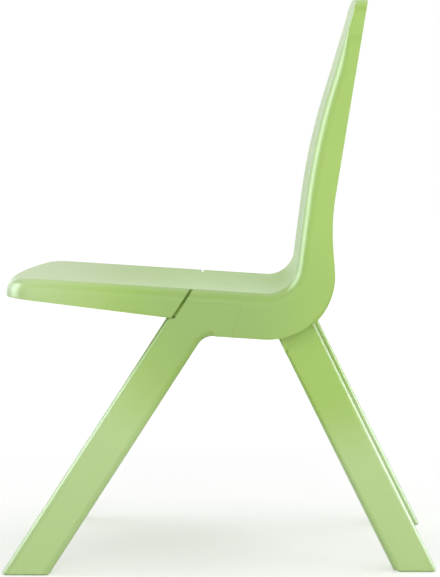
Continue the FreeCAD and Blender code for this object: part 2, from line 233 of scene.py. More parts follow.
# %% The rim's path and the lines under it
roll_start = math.degrees(math.asin(front_roll / front_roll_radius))
cos_start = math.cos(math.radians(roll_start))
front_edge = Vector((y_front, seat_height - front_roll_radius * (1 - cos_start)))
roll = (front_roll_radius, -roll_start - seat_slope)
rolled = lay_path(front_edge, roll_start, [roll])[0]
roll_end = follow(rolled, rolled[0])[0]
seat_line = (roll_end, -seat_slope)
corner = at_y(y_front + seat_depth, seat_line)
bend_turn = 90 - lean_low + seat_slope
bend_start = corner - heading(-seat_slope) * bend_radius * math.tan(math.radians(bend_turn / 2))
bend_centre = beside(bend_start, -seat_slope, bend_radius)
rim_legs = [
    roll,
    ((bend_start - roll_end).length, 0),
    (bend_radius, bend_turn),
    (back_straight, 0),
    (back_curve_radius, lean_low - lean_high),
]
lower_rim = lay_path(front_edge, roll_start, rim_legs)
curve_end = follow(lower_rim[-1], lower_rim[-1][0])[0]
top_straight = (top - curve_end.y) / math.cos(math.radians(lean_high))
rim = lay_path(front_edge, roll_start, rim_legs + [(top_straight, 0)])
rim_length = sum(piece[0] for piece in rim)

skirt_line = (Vector((y_front, seat_height - skirt_front)), -skirt_angle)
rail_line = (beside(roll_end, -seat_slope, -rail_depth), -seat_slope)
seam_line = (beside(roll_end, -seat_slope, -head_drop), -seat_slope)
joint = at_y(y_front + leg_joint, skirt_line)
leg_degrees = math.degrees(math.atan2(joint.y - toe.y, joint.x - toe.x))
leg_rear = (beside(toe, leg_degrees, -front_leg_width), leg_degrees)
slit_front = (beside(toe, leg_degrees, -slit_back), leg_degrees)
slit_rear = (beside(toe, leg_degrees, -slit_back - slit_width), leg_degrees)
head_line = (at_y(y_front + head_rear, seam_line), 90 - head_lean)
belly_y = y_front + belly_reach - belly_radius
belly_centre = at_y(belly_y, rail_line) + Vector((0, belly_radius / math.cos(math.radians(seat_slope))))
belly_line = (beside(belly_centre, 90 + belly_lean, -belly_radius), 90 + belly_lean)
rear_line = (Vector((y_front + belly_reach - waist_inset, waist_height)), 90 - rear_lean)
rear_joint = Vector((corner.x + rear_leg_joint, at_y(corner.x, rail_line).y))
rear_degrees = math.degrees(math.atan2(rear_joint.y - heel.y, rear_joint.x - heel.x))
rear_leg_front = (beside(heel, rear_degrees, rear_leg_width), rear_degrees)
rear_leg_rear = (heel, rear_degrees)
print(f"rim {rim_length:.1f} mm long, leg at {leg_degrees:.1f} degrees, rear leg at {rear_degrees:.1f}")

# %% [markdown]
# ## The shell as a sheet
#
# A moulded shell is one wall of even thickness, here a shallow dish with its border rolled over and turned
# down into skirts. The same steps make the mesh. A flat grid becomes the dish, its border is extruded round
# the rim and down the skirt, and the whole sheet is given its thickness at the end. A lofted block would
# need its inside cut out, while a sheet gets an even wall by itself.


# %% How the sheet's sections change along the rim
rim_seat, rim_back, rim_top = 10.5, 11.5, 2.0
rim_change = 78.0
dish_front, dish_bend = 0.5, 9.0
dish_top = -2.2  # less than nought: the top edge is crowned
back_taper, taper_end = 9.0, 70.0
front_bow, front_corner = 920.0, 22.0
top_bow, top_corner = 1200.0, 14.0
end_zone = 45.0
bend_end_height = path_at(rim, sum(piece[0] for piece in rim[:3]))[0].y


def half_width(z):
    return half - back_taper * blend((z - bend_end_height) / (top - taper_end - bend_end_height))


def rim_radius(z):
    """The rim's rounding at a height: fuller on the back, and running out at the top."""
    radius = between(rim_seat, rim_back, blend((z - seat_height) / rim_change))
    return between(radius, rim_top, blend((z - top + taper_end) / end_zone))


def dish(x, s):
    """Depth of the dish below the line between the two rims."""
    z = path_at(rim, s)[0].y
    share = x / (half_width(z) - rim_radius(z))
    swell = math.sin(math.pi * s / rim_length) ** 2
    edge = between(dish_front, dish_top, blend((s - rim_length + end_zone) / end_zone))
    return between(edge, dish_bend, swell) * max(0.0, 1 - share * share)


def downwards(s):
    """Heading of the wall away from the rim: plumb at the front, level at the top of the back."""
    across = path_at(rim, s)[1] - 90
    at_top = blend((s - rim_length + end_zone) / end_zone)
    return between(-90, across, blend(s / end_zone)) * (1 - at_top)


def end_curve(x, width, bow, radius):
    """How far a bowed end with rounded corners lies inwards at x, and its outward direction there."""
    centre = width - radius
    bow_to_corner = bow - math.sqrt((bow - radius) ** 2 - centre ** 2)
    if abs(x) < centre * bow / (bow - radius):
        inwards = bow - math.sqrt(bow * bow - x * x)
        return inwards, Vector((x / bow, (bow - inwards) / bow))
    u = min(abs(x) - centre, radius)
    rise = math.sqrt(radius * radius - u * u)
    return bow_to_corner - rise, Vector((math.copysign(u / radius, x), rise / radius))


print(f"rim radius {rim_radius(seat_height):.1f} at the seat and {rim_radius(top):.1f} at the top, "
      f"half width {half_width(top):.1f} there")


# %% Stations along the rim, and places across it
def where(line):
    """How far along the rim a line of the side view crosses the seat."""
    return rim[0][0] + (meet(*line, *seat_line) - roll_end).dot(heading(-seat_slope))


slit_stations = (where(slit_front), where(slit_rear))
head_station = where(head_line)
ends = [0.0]
for piece in rim:
    ends.append(ends[-1] + piece[0])
keys = [  # a station, and in how many steps the rows come to it
    (0.0, 0),
    (end_zone, 10),
    (slit_stations[0], 14),
    (slit_stations[1], 1),
    (head_station, 7),
    (ends[2], 4),
    (ends[3], 16),
    (ends[4], 8),
    (ends[5], 12),
    (rim_length - end_zone, 6),
    (rim_length, 12),
]
stations = [0.0]
for (start, _), (end, steps) in zip(keys, keys[1:]):
    stations += [between(start, end, (i + 1) / steps) for i in range(steps)]
slit_share = (half - slit_length) / (half - rim_seat)
shares = [i / 20 for i in range(18)]  # even in the middle, closer towards the rim
shares += [slit_share, 0.92, 0.94, 0.957, 0.972, 0.984, 0.992, 0.997, 1.0]
shares = [-share for share in reversed(shares[1:])] + shares
print(len(stations), "stations,", len(shares), "places across")


# %% From the rim to a point in space
def in_steps(keys, s):
    """A value that runs straight from key to key along the rim."""
    if s <= keys[0][0]:
        return keys[0][1]
    for (start, a), (end, b) in zip(keys, keys[1:]):
        if s <= end:
            return between(a, b, (s - start) / (end - start))
    return keys[-1][1]


def per_depth(degrees):
    """How far a line of the side view runs along the seat while it goes down by one."""
    return -1 / math.tan(math.radians(degrees + seat_slope))


slant_keys = [
    (end_zone, 0.0),
    (slit_stations[0], per_depth(leg_degrees)),
    (slit_stations[1], per_depth(leg_degrees)),
    (head_station, per_depth(head_line[1])),
    (ends[2], 0.0),
]


def place(x, s, depth):
    """A point of the shell: sideways, along the rim and down into the wall."""
    s += in_steps(slant_keys, s) * depth
    point = path_at(rim, s)[0] + depth * heading(downwards(s))
    return Vector((x, point.x, point.y))


print("the seat's middle lies at", [round(v, 1) for v in place(0, rim_length / 4, dish(0, rim_length / 4))])


# %% Lay the dish
def dish_place(share, s):
    """The dish's point at a share of the half width and a station, with the ends bowed and rounded."""
    z = path_at(rim, s)[0].y
    width = half_width(z) - rim_radius(z)
    x = share * width
    if s < end_zone:
        front_cut = rim_seat + end_curve(x, width, front_bow - rim_seat, front_corner - rim_seat)[0]
        s = between(front_cut, end_zone, s / end_zone)
    left = rim_length - s
    if left < end_zone:
        top_cut = rim_top + end_curve(x, width, top_bow - rim_top, top_corner - rim_top)[0]
        s = rim_length - between(top_cut, end_zone, left / end_zone)
    return x, s


bm = bmesh.new()
bmesh.ops.create_grid(bm, x_segments=len(shares) - 1, y_segments=len(stations) - 1, size=1.0)
spot = {}
for vert in bm.verts:
    column = round((vert.co.x + 1) / 2 * (len(shares) - 1))
    row = round((vert.co.y + 1) / 2 * (len(stations) - 1))
    x, s = dish_place(shares[column], stations[row])
    spot[vert] = (row, x, s)
    vert.co = place(x, s, dish(x, s))
print("dish of", len(bm.faces), "faces")

# %% [markdown]
# ## The rim and the skirts
#
# The rim is rounded for the sitter's legs and hands, and the skirt under it hides how the chair's legs are
# held. A bevel could round the rim only as far as the neighbouring faces let it, so the border is
# extruded ring by ring instead. Each new ring is moved to its place: first round a quarter circle for the
# rim, then straight down the skirt to the shell's lower line. That line is stepped at the front legs, whose
# heads fill a window in the skirt.


# %% The shell's lower line
belly_start = meet(belly_centre, -seat_slope - 90, *rail_line)
waist = meet(*belly_line, *rear_line)
waist_turn = belly_lean + rear_lean
waist_reach = waist_radius * math.tan(math.radians(waist_turn / 2))
waist_centre = beside(waist - waist_reach * heading(belly_line[1]), belly_line[1], -waist_radius)


def rear_edge(z):
    """The rear line of the back at a height: up from the belly, round the waist and up to the top."""
    low = waist.y - waist_reach * math.sin(math.radians(belly_line[1]))
    high = waist.y + waist_reach * math.sin(math.radians(rear_line[1]))
    level = (Vector((0, z)), 0)
    if z < low:
        return meet(*belly_line, *level)
    if z > high:
        return meet(*rear_line, *level)
    rise = z - waist_centre.y
    return Vector((waist_centre.x - math.sqrt(waist_radius ** 2 - rise * rise), z))


print(f"waist {waist.y:.1f} up, belly's centre {belly_centre.y:.1f} up")

# %% Where the skirt ends
touch = 0.01
skirt_keys = [
    (end_zone, path_at(rim, end_zone)[0].x),
    (slit_stations[0], meet(*slit_front, *skirt_line).x),
]
rail_keys = [
    (slit_stations[1], meet(*slit_rear, *rail_line).x),
    (head_station, meet(*head_line, *rail_line).x),
    (ends[2], belly_start.x),
]


def lower_edge(s, rim_end):
    """Where the skirt ends below a station, given where its rim ends, in the side view."""
    if s < end_zone:
        return at_y(rim_end.x, skirt_line)
    if s < slit_stations[0] + touch:
        return at_y(in_steps(skirt_keys, s), skirt_line)
    if s < ends[2] + touch:
        return at_y(in_steps(rail_keys, s), rail_line)
    if s < ends[3] + touch:
        turn = (s - ends[2]) / (ends[3] - ends[2])
        return belly_centre + belly_radius * heading(between(-90 - seat_slope, belly_lean, turn))
    return rear_edge(rim_end.y)


print("the skirt's line turns at", [round(s, 1) for s in (*slit_stations, *ends[2:4])], "mm along the rim")

# %% [markdown]
# The last ring but one lies just before the lower edge. It supports that edge: the small bevel there then
# has faces of its own to cut into and leaves the tall faces of the skirt alone.


# %% Which way the border goes
def border_direction(row, x, s):
    """The outward direction of the border in the sheet, and the rim's radius there."""
    z = path_at(rim, s)[0].y
    radius = rim_radius(z)
    width = half_width(z) - radius
    if row == 0:
        outward = end_curve(x, width, front_bow - radius, front_corner - radius)[1]
        return Vector((outward.x, -outward.y)), radius
    if row == len(stations) - 1:
        return end_curve(x, width, top_bow - radius, top_corner - radius)[1], radius
    return Vector((math.copysign(1, x), 0)), radius


border = [e for e in bm.edges if e.is_boundary]
print("border of", len(border), "edges")


# %% Extrude a ring
def verts_of(made):
    """The vertices among what an operator made."""
    return [item for item in made if isinstance(item, bmesh.types.BMVert)]


def open_edges_of(made):
    """The edges on the border among what an operator made."""
    return [item for item in made if isinstance(item, bmesh.types.BMEdge) and item.is_boundary]


def extrude_ring(loop, spots, move):
    """Extrudes a chain of border edges and moves each new vertex; gives the new border and its spots."""
    made = bmesh.ops.extrude_edge_only(bm, edges=loop)["geom"]
    new_spots = {}
    for vert in verts_of(made):
        source = next(e.other_vert(vert) for e in vert.link_edges if e.other_vert(vert) in spots)
        new_spots[vert] = spots[source]
        vert.co = move(*spots[source])
    return open_edges_of(made), new_spots


# %% Roll the border over and turn it down
rim_steps = 8
support = 2.6
half_way = 0.5


def rim_move(step):
    """Moves a ring round the rim's quarter circle."""
    angle = math.pi / 2 * step / rim_steps

    def move(row, x, s):
        outward, radius = border_direction(row, x, s)
        out = outward * radius * math.sin(angle)
        return place(x + out.x, s + out.y, dish(x, s) + radius * (1 - math.cos(angle)))

    return move


def skirt_move(stop):
    """Moves a ring down the skirt: to the seam's depth, to just before the lower edge, or to the edge."""

    def move(row, x, s):
        start = rim_move(rim_steps)(row, x, s)
        rim_end = side_view(start)
        if row == len(stations) - 1:
            end = rear_edge(rim_end.y)
        elif row == 0:
            end = at_y(rim_end.x, skirt_line)
        else:
            end = lower_edge(s, rim_end)
        way = end - rim_end
        seam = rim_end + way * min(half_way, (head_drop - rim_seat) / way.length)
        if slit_stations[0] - touch <= s <= head_station + touch:
            seam = meet(rim_end, math.degrees(math.atan2(way.y, way.x)), *seam_line)
        nearly = max(half_way, 1 - support / (end - seam).length)
        point = between(seam, end, {"seam": 0, "support": nearly, "edge": 1}[stop])
        return Vector((start.x, point.x, point.y))

    return move


spots = {v: spot[v] for v in bm.verts if v.is_boundary}
for step in range(1, rim_steps + 1):
    border, spots = extrude_ring(border, spots, rim_move(step))
border, spots = extrude_ring(border, spots, skirt_move("seam"))
upper_faces = set(bm.faces)
border, spots = extrude_ring(border, spots, skirt_move("support"))
border, spots = extrude_ring(border, spots, skirt_move("edge"))
lower_skirt = [f for f in bm.faces if f not in upper_faces]
print("sheet of", len(bm.faces), "faces")

# %% [markdown]
# ## The slits and the windows
#
# Two cuts make the joint that the photo shows on each side: a slit through the rim in front of each front
# leg, and the window for the leg's head. A Boolean could cut them, but it leaves long thin triangles that
# shade badly. Here the grid has a row of faces just as wide as the slit, so both cuts are only faces to
# delete.


# %% Cut the slits and the windows
def inside_slit(face):
    centre = face.calc_center_median()
    if abs(centre.x) < half - slit_length or centre.z > seat_height:
        return False
    return 0 < behind(side_view(centre), slit_front) < slit_width


def inside_window(face):
    centre = side_view(face.calc_center_median())
    return behind(centre, slit_rear) > 0 and behind(centre, head_line) < 0


cut = [f for f in bm.faces if inside_slit(f)]
cut += [f for f in lower_skirt if inside_window(f) and f not in cut]
bmesh.ops.delete(bm, geom=cut, context="FACES")
print("cut", len(cut), "faces")

# %% [markdown]
# ## The wall
#
# A sheet has no thickness yet. Solidify copies it four millimetres inwards and closes the edges, so the
# wall is even, as in a moulding. It works along the normals, which have to point outwards first. A
# Solidify modifier would do the same, but the bevels below need the wall's edges as real edges.


# %% Thicken the sheet
bmesh.ops.recalc_face_normals(bm, faces=list(bm.faces))
middle = place(0, rim_length / 4, 0)
seat_face = min(bm.faces, key=lambda f: (f.calc_center_median() - middle).length)
if seat_face.normal.z < 0:
    bmesh.ops.reverse_faces(bm, faces=list(bm.faces))
bmesh.ops.solidify(bm, geom=list(bm.faces), thickness=wall)
print("wall of", len(bm.faces), "faces")

# %% [markdown]
# Injection moulds leave no knife edges. Every sharp edge of the wall gets a small bevel, rounder on the
# outside than on the inside, and that bevel is what catches the light along the lower edges. Only the
# joints with the legs' heads stay sharp, because there the two pieces meet flush.


# %% Break the wall's edges
lip_round, edge_break = 1.8, 0.5
lip_degrees = 50
near = 0.2
front_margin, top_margin, facing = 8.0, 10.0, 0.6


def sharp_edges(mesh, degrees, allowed=lambda edge: True):
    """The edges between two faces that turn by more than an angle."""
    limit = math.radians(degrees)
    closed = [e for e in mesh.edges if len(e.link_faces) == 2]
    return [e for e in closed if e.calc_face_angle(0) > limit and allowed(e)]


def round_edges(mesh, edges, radius, segments, clamp=True):
    bmesh.ops.bevel(mesh, geom=edges, offset=radius, offset_type="OFFSET", segments=segments,
                    profile=0.5, affect="EDGES", material=-1, clamp_overlap=clamp)


def middle_of(edge):
    return (edge.verts[0].co + edge.verts[1].co) / 2


def on_outside(edge):
    """Whether an edge lies on the shell's outside: between a lip and a wall that faces away from it."""
    centre = middle_of(edge)
    outwards = [Vector((math.copysign(1, centre.x), 0, 0)), Vector((0, -1, 0)), Vector((0, 0, 1))]
    on_side = abs(centre.x) > half_width(centre.z) - near
    on_front = centre.y < y_front + front_corner + front_margin and centre.z < seat_height
    on_top = centre.z > top - top_corner - top_margin
    sides = [way for way, used in zip(outwards, (on_side, on_front, on_top)) if used]
    return any(face.normal.dot(way) > facing for face in edge.link_faces for way in sides)


def in_joint(edge):
    """Whether an edge lies along a slit or a window, where the leg's head sits flush."""
    centre = middle_of(edge)
    after_slit = behind(side_view(centre), slit_front) > -near
    before_head = behind(side_view(centre), head_line) < near
    return after_slit and before_head and centre.z < seat_height


outer_lips = sharp_edges(bm, lip_degrees, lambda e: on_outside(e) and not in_joint(e))
round_edges(bm, outer_lips, lip_round, 4)
inner_lips = sharp_edges(bm, lip_degrees, lambda e: not in_joint(e))
round_edges(bm, inner_lips, edge_break, 2)
print("broken edges:", len(outer_lips), "outer,", len(inner_lips), "inner; faces:", len(bm.faces))

# %% [markdown]
# ## Under the seat
#
# Turned over, a shell like this shows how it holds its legs: roofs and walls that box in the heads of the
# front legs, two cheeks on each side for the heads of the rear legs, an apron behind them, a shelf that
# ties the apron to the back, and ribs that stiffen the seat. They could be extruded out of the shell's own
# faces, but those faces don't lie where the plates stand. All of them have an even thickness, so each is
# an outline that is extruded once and runs a little into the wall it stands on.


# %% Plates and their outlines
def slab(mesh, outline, way):
    """Fills an outline and extrudes it, as one closed plate."""
    face = mesh.faces.new([mesh.verts.new(point) for point in outline])
    made = bmesh.ops.extrude_face_region(mesh, geom=[face])["geom"]
    bmesh.ops.translate(mesh, verts=verts_of(made), vec=way)


def plate(mesh, outline, x_low, x_high):
    """A plate with its outline in the side view."""
    slab(mesh, [(x_low, p.x, p.y) for p in outline], (x_high - x_low, 0, 0))


def pair(mesh, outline, x_low, x_high):
    """A plate on the left and its mirror image on the right."""
    plate(mesh, outline, x_low, x_high)
    plate(mesh, outline, -x_high, -x_low)


def mid_wall(x, s):
    """A point in the middle of the seat's or the back's wall."""
    return place(x, s, dish(x, s) + wall / 2)


def in_wall(x, start, end, steps):
    """A row of such points along the rim, in the side view."""
    return [side_view(mid_wall(x, between(start, end, i / steps))) for i in range(steps + 1)]


def crossing(centre, radius, line):
    """The lower of the two points where a line crosses a circle."""
    point, degrees = line
    foot = point + heading(degrees) * (centre - point).dot(heading(degrees))
    return foot - heading(degrees) * math.sqrt(radius * radius - (foot - centre).length_squared)


def angle_to(centre, point):
    return math.degrees(math.atan2(point.y - centre.y, point.x - centre.x))


# %% Pockets for the front legs
cheek = 4.0
gap = 0.05  # between a plate and the leg beside it
hair = 0.1  # keeps two plates out of the same plane, where they would render as dark patches
into_skirt = 0.5
into_seat = 0.25 * wall
roof_line = (beside(roll_end, -seat_slope, into_seat - wall), -seat_slope)
head_top_front = meet(*slit_rear, *seam_line)
head_rear_at = head_line[0]
head_low_rear = meet(*head_line, *rail_line)
shoulder = meet(*leg_rear, *rail_line)
step_at = meet(*slit_rear, *skirt_line)
roof_ends = [meet(*head_line, *roof_line), meet(*slit_rear, *roof_line)]
pocket_wall = [head_top_front, step_at, shoulder, head_low_rear, *roof_ends]
pair(bm, [head_top_front, head_rear_at, *roof_ends], leg_inner - hair, half - wall + into_skirt)
pair(bm, pocket_wall, leg_inner - cheek, leg_inner - gap)
print(f"pockets for leg heads between {leg_inner:.1f} and {half:.1f}, faces so far: {len(bm.faces)}")

# %% Pads for the rear legs
head_pad = 3.0
pad_sink = 1.1
pad_start = -92.0 - seat_slope
head_radius = bend_radius + wall + dish_bend / 2 + head_pad
overrun = 6.0
pad_ahead = crossing(bend_centre, head_radius, (beside(*rear_leg_front, overrun), rear_degrees))
pad_behind = crossing(bend_centre, head_radius, (beside(*rear_leg_rear, -overrun), rear_degrees))
pad_turn = (max(angle_to(bend_centre, pad_ahead), pad_start), angle_to(bend_centre, pad_behind))
pad = arc(bend_centre, head_radius - gap, *pad_turn, 10)
pad += arc(bend_centre, bend_radius + wall + pad_sink, *pad_turn[::-1], 10)
pair(bm, pad, rear_inner - cheek + hair, rear_outer + cheek - hair)
print(f"pads {head_radius - bend_radius - wall - pad_sink:.1f} thick over the rear legs")

# %% Cheeks and tongues for the rear legs
tongue_length, tongue_angle = 14.0, 30.0
cheek_start = at_y(belly_centre.x - 2 * overrun, rail_line)
belly_arc = arc(belly_centre, belly_radius, -90 - seat_slope, belly_lean, 16)
bend_reach = (ends[3] + overrun - wall / 2, ends[2] - 1.5 * overrun, 16)
for low, high in ((rear_inner - cheek, rear_inner - gap), (rear_outer + gap, rear_outer + cheek)):
    pair(bm, [cheek_start, *belly_arc, *in_wall((low + high) / 2, *bend_reach)], low, high)
raised = Vector((0, overrun))
tongue_top = meet(*rear_leg_front, *rail_line)
tongue_tip = tongue_top - heading(rear_degrees) * tongue_length
tongue_rear = belly_centre + belly_radius * heading(tongue_angle - 90)
tongue = [tongue_tip, tongue_rear, tongue_rear + raised, tongue_top + raised]
pair(bm, tongue, rear_outer + gap + hair, rear_outer + cheek - hair)
print(f"cheeks on both sides of {rear_inner:.1f} to {rear_outer:.1f}, faces so far: {len(bm.faces)}")

# %% The apron
proud = 2.5
apron_top = belly_line[0].y + overrun
cheek_end = meet(*belly_line, Vector((0, apron_top)), 0)
apron_centre = meet(beside(*rail_line, belly_radius - proud), rail_line[1],
                    beside(*belly_line, belly_radius), belly_line[1])
behind_leg = (beside(*rear_leg_rear, -gap), rear_degrees)
outer_start = angle_to(apron_centre, crossing(apron_centre, belly_radius, behind_leg))
inner_start = angle_to(apron_centre, crossing(apron_centre, belly_radius - wall, behind_leg))
apron = arc(apron_centre, belly_radius, outer_start, belly_lean, 14)
apron += [cheek_end, cheek_end - Vector((wall, 0))]
apron += arc(apron_centre, belly_radius - wall, belly_lean, inner_start, 14)
side = half - wall / 2
plate(bm, apron, -side, side)
print(f"apron up to {apron_top:.1f}, faces so far: {len(bm.faces)}")

# %% The shelf
shelf_short = 1.0
shelf_station = ends[3] + overrun
shelf_side = half - rim_seat
shelf_xs = [between(-shelf_side, shelf_side, i / 24) for i in range(25)]
shelf = [mid_wall(x, shelf_station) for x in shelf_xs]
shelf_turn, shelf_rear = shelf[-1].y + rim_seat, cheek_end.x - shelf_short
corners = [(side, shelf_turn), (side, shelf_rear), (-side, shelf_rear), (-side, shelf_turn)]
outline = [(p.x, p.y) for p in shelf] + corners
slab(bm, [(x, y, apron_top - hair) for x, y in outline], (0, 0, -wall))
print(f"shelf from {shelf[12].y:.1f} to {shelf_rear:.1f} behind the middle")

# %% The ribs and the beam
rib, rib_pitch = 3.0, 70.0
rib_foot = (beside(*skirt_line, rib), -skirt_angle)
for x in (-rib_pitch, 0.0, rib_pitch):
    start = y_front + end_curve(x, half, front_bow, front_corner)[0] + wall / 2
    outline = [at_y(start, rib_foot), at_y(bend_start.x, rib_foot), *in_wall(x, ends[2], 2 * wall, 20)]
    plate(bm, outline, x - rib / 2, x + rib / 2)
head_corners = (head_top_front, head_rear_at, head_low_rear, step_at)
head_middle = sum(head_corners, Vector((0, 0))) / 4
beam_x = leg_inner - cheek / 2
beam_y = head_middle.x - rib / 2
beam_station = where((head_middle, 90))
beam_foot = at_y(head_middle.x, rail_line).y + rib
in_seat = [mid_wall(i * beam_x / 12, beam_station) for i in range(-12, 13)]
beam = [(p.x, beam_y, p.z) for p in in_seat]
beam += [(x, beam_y, beam_foot) for x in (beam_x, -beam_x)]
slab(bm, beam, (0, rib, 0))
print("shell with its underside:", len(bm.faces), "faces")

# %% [markdown]
# ## Plastic, rubber and steel
#
# Polypropylene is dyed through. A finely sparked mould gives it a satin look; that grain is far below a
# millimetre, so it goes into the bump and not into the mesh. Slow noise moves colour and gloss by a few
# parts in a hundred, as flow and cooling do in a real moulding. An image could be painted instead, but
# noise in the object's own space needs no unwrapping. The little class below lets a shader be written as
# sums and products.


# %% A pen for shader nodes
class Wire:
    """An output of a node; arithmetic on it adds Math nodes."""

    def __init__(self, finish, socket):
        self.finish = finish
        self.socket = socket

    def math(self, operation, first, second):
        return self.finish.node("ShaderNodeMath", {"operation": operation}, {0: first, 1: second})("Value")

    def __add__(self, other):
        return self.math("ADD", self, other)

    def __sub__(self, other):
        return self.math("SUBTRACT", self, other)

    def __mul__(self, other):
        return self.math("MULTIPLY", self, other)

    def __pow__(self, other):
        return self.math("POWER", self, other)

    def __or__(self, other):
        """The greater of two masks."""
        return self.math("MAXIMUM", self, other)

    __radd__ = __add__
    __rmul__ = __mul__


class Finish:
    """The emptied node tree of a material or a world, with methods that add nodes to it."""

    def __init__(self, owner):
        self.owner = owner
        owner.use_nodes = True
        self.tree = owner.node_tree
        self.tree.nodes.clear()

    def node(self, kind, settings, inputs):
        """Adds a node, sets it up, feeds it, and gives a way to its outputs."""
        node = self.tree.nodes.new(kind)
        for key, value in settings.items():
            setattr(node, key, value)
        for key, value in inputs.items():
            if isinstance(value, Wire):
                self.tree.links.new(value.socket, node.inputs[key])
            else:
                node.inputs[key].default_value = value
        return lambda output: Wire(self, node.outputs[output])

    def noise(self, size, detail=2.0):
        """Noise in the object's own space, with features of about this many millimetres."""
        where_at = self.node("ShaderNodeTexCoord", {}, {})("Object")
        inputs = {"Vector": where_at, "Scale": 1 / (size * MM), "Detail": detail}
        return self.node("ShaderNodeTexNoise", {}, inputs)(0)

    def tint(self, factor, first, second):
        """Mixes two colours."""
        settings = {"data_type": "RGBA"}
        return self.node("ShaderNodeMix", settings, {0: factor, 6: first, 7: second})(2)

    def done(self, shader, output="ShaderNodeOutputMaterial"):
        """Connects the finished shader and gives back the material or the world."""
        self.node(output, {}, {"Surface": shader})
        return self.owner


# %% [markdown]
# The green is painted paler towards the feet and the front, as painted light, and darker on the sides round
# the heads of the front legs, as painted shade. Light that scatters inside the plastic could give some of
# it, but is slow to render, so two soft masks tint the colour by the place on the chair.


# %% Where the green is painted lighter and where it is painted in shade
# Places are pairs of y and z; along and above say how much each direction counts.
lit_from, lit_along, lit_above = (60.0, 240.0), 0.8, 1.2
lit_start, lit_end, lit_most = 100.0, 190.0, 0.28
lit_top, lit_fade = 300.0, 45.0
painted_light_green = (0.75, 0.87, 0.64, 1)
shade_from, shade_start, shade_end = (0.0, 230.0), 20.0, 125.0
shade_side, shade_fade = 155.0, 15.0
painted_shade_green = (0.30, 0.47, 0.115, 1)


def eased(finish, value, start, end, first, last):
    """Eases from first to last while a length runs from start to end, in millimetres."""
    ends_at = {"From Min": start * MM, "From Max": end * MM, "To Min": first, "To Max": last}
    settings = {"interpolation_type": "SMOOTHSTEP"}
    return finish.node("ShaderNodeMapRange", settings, {"Value": value, **ends_at})("Result")


def away_from(axes, spot_yz, along, above):
    """Distance from a spot of the side view, with each direction weighted."""
    run = along * (axes("Y") - spot_yz[0] * MM)
    rise = above * (axes("Z") - spot_yz[1] * MM)
    return (run * run + rise * rise) ** 0.5


def painted_light_mask(finish, axes):
    """Painted light: how much paler the green is towards the feet and the front, not at the bend or on the
    back.
    """
    away = away_from(axes, lit_from, lit_along, lit_above)
    far = eased(finish, away, lit_start, lit_end, 0.0, lit_most)
    return far * eased(finish, axes("Z"), lit_top - lit_fade, lit_top, 1.0, 0.0)


def painted_shade_mask(finish, axes):
    """Painted shade: how much darker the green is, most on the chair's sides round the heads of the front
    legs.
    """
    close_by = eased(finish, away_from(axes, shade_from, 1.0, 1.0), shade_start, shade_end, 1.0, 0.0)
    outside = (axes("X") * axes("X")) ** 0.5
    return close_by * eased(finish, outside, shade_side - shade_fade, shade_side, 0.0, 1.0)


# %% The finishes
sheen, sheen_spread = 0.2, 0.4
plastic_ior = 1.49
drift_size, gloss_size, gloss_drift = 60, 25, 0.08
grain_size, grain_depth = 0.6, 0.05
patch_size, steel_gloss, steel_drift = 1.5, 0.28, 0.12


def dyed_plastic_with_painted_shading(name, dark, light, gloss, grain):
    """Satin plastic: slow drift of colour and gloss, a fine grain, and painted light and shade in the
    colour.
    """
    finish = Finish(bpy.data.materials.new(name))
    spot_at = finish.node("ShaderNodeTexCoord", {}, {})("Object")
    axes = finish.node("ShaderNodeSeparateXYZ", {}, {"Vector": spot_at})
    colour = finish.tint(finish.noise(drift_size), dark, light)
    # painted shade darkens the sides round the front legs' heads; painted light pales the feet and the
    # front
    colour = finish.tint(painted_shade_mask(finish, axes), colour, painted_shade_green)
    colour = finish.tint(painted_light_mask(finish, axes), colour, painted_light_green)
    roughness = gloss + gloss_drift * (finish.noise(gloss_size) - 0.5)
    grains = finish.noise(grain_size, 1.0)
    relief = {"Strength": grain, "Distance": grain_depth * MM, "Height": grains}
    bump = finish.node("ShaderNodeBump", {}, relief)("Normal")
    inputs = {"Base Color": colour, "Roughness": roughness, "Normal": bump, "IOR": plastic_ior}
    inputs |= {"Sheen Weight": sheen, "Sheen Roughness": sheen_spread}
    return finish.done(finish.node("ShaderNodeBsdfPrincipled", {}, inputs)("BSDF"))


def bright_steel(name):
    """Zinc-plated steel with a faint uneven gloss."""
    finish = Finish(bpy.data.materials.new(name))
    patches = finish.noise(patch_size)
    colour = finish.tint(patches, (0.52, 0.53, 0.54, 1), (0.66, 0.67, 0.68, 1))
    roughness = steel_gloss + steel_drift * patches
    inputs = {"Base Color": colour, "Metallic": 1.0, "Roughness": roughness}
    return finish.done(finish.node("ShaderNodeBsdfPrincipled", {}, inputs)("BSDF"))


satin = ((0.35, 0.55, 0.10, 1), (0.375, 0.575, 0.115, 1), 0.4, 0.2)
dull = ((0.22, 0.34, 0.10, 1), (0.26, 0.39, 0.12, 1), 0.7, 0.4)
shell_green = dyed_plastic_with_painted_shading("shell_green", *satin)
leg_green = dyed_plastic_with_painted_shading("leg_green", *satin)
glide_green = dyed_plastic_with_painted_shading("glide_green", *dull)
screw_steel = bright_steel("screw_steel")
for material in (shell_green, leg_green, glide_green, screw_steel):
    print(material.name, "has", len(material.node_tree.nodes), "nodes")

# %% [markdown]
# ## From a mesh to a piece
#
# Every piece ends the same way, so one function does it: the mesh is scaled to metres, shaded smooth where
# it is round and sharp where it has edges, and tied to the frame. Large flat sides keep sharp borders, or
# the smooth shading of the bevel next to them would spread over the whole side.


# %% Turn a mesh into a finished piece
flat_area = 3000.0
sharp_degrees = 40


